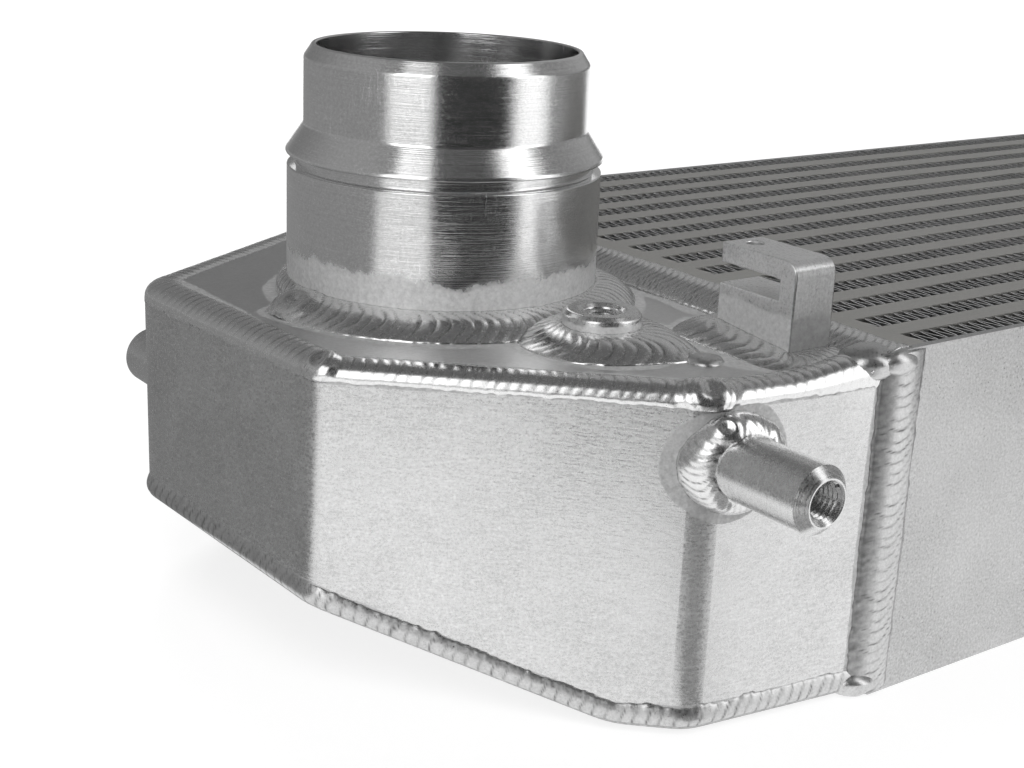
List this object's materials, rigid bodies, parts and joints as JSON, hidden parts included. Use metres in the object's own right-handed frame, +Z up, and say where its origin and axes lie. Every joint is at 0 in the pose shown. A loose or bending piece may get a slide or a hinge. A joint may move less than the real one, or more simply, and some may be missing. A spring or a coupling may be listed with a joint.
{
  "type": "intercooler",
  "caption": "Bar-and-plate intercooler: long finned core between welded end tanks, each with a beaded hose neck and threaded mounting pegs.",
  "frame": {"origin": "centre of the core's bottom face", "axes": "+X along the core from the inlet tank to the outlet tank, +Y across the fin rows towards the far side, +Z up along the necks"},
  "size_m": [0.7962, 0.2135, 0.1402],
  "materials": {
    "core_aluminium": "brazed, dull and pebbled",
    "fin_aluminium": "thin rolled sheet, brazed",
    "tank_aluminium": "rolled sheet, lightly brushed",
    "machined_aluminium": "turned and milled, bright",
    "weld_aluminium": "rippled weld bead, satin"
  },
  "bodies": {
    "root": {"near_side_plate": "core_aluminium", "far_side_plate": "core_aluminium", "parting_sheets": "core_aluminium", "tube_bars": "core_aluminium", "end_bars": "core_aluminium", "air_fins": "fin_aluminium", "turbulators": "fin_aluminium", "inlet_tank_wall": "tank_aluminium", "outlet_tank_wall": "tank_aluminium", "inlet_top_plate": "tank_aluminium", "outlet_top_plate": "tank_aluminium", "inlet_bottom_plate": "tank_aluminium", "outlet_bottom_plate": "tank_aluminium", "inlet_neck": "machined_aluminium", "outlet_neck": "machined_aluminium", "inlet_bung": "machined_aluminium", "inlet_bracket": "machined_aluminium", "inlet_near_peg": "machined_aluminium", "outlet_near_peg": "machined_aluminium", "inlet_far_peg": "machined_aluminium", "outlet_far_peg": "machined_aluminium", "inlet_core_seam": "weld_aluminium", "outlet_core_seam": "weld_aluminium", "inlet_top_seam": "weld_aluminium", "outlet_top_seam": "weld_aluminium", "inlet_bottom_seam": "weld_aluminium", "outlet_bottom_seam": "weld_aluminium", "inlet_neck_bead": "weld_aluminium", "outlet_neck_bead": "weld_aluminium", "inlet_near_peg_bead": "weld_aluminium", "outlet_near_peg_bead": "weld_aluminium", "inlet_far_peg_bead": "weld_aluminium", "outlet_far_peg_bead": "weld_aluminium", "inlet_bung_bead": "weld_aluminium", "inlet_bracket_bead": "weld_aluminium"}
  },
  "joints": []
}
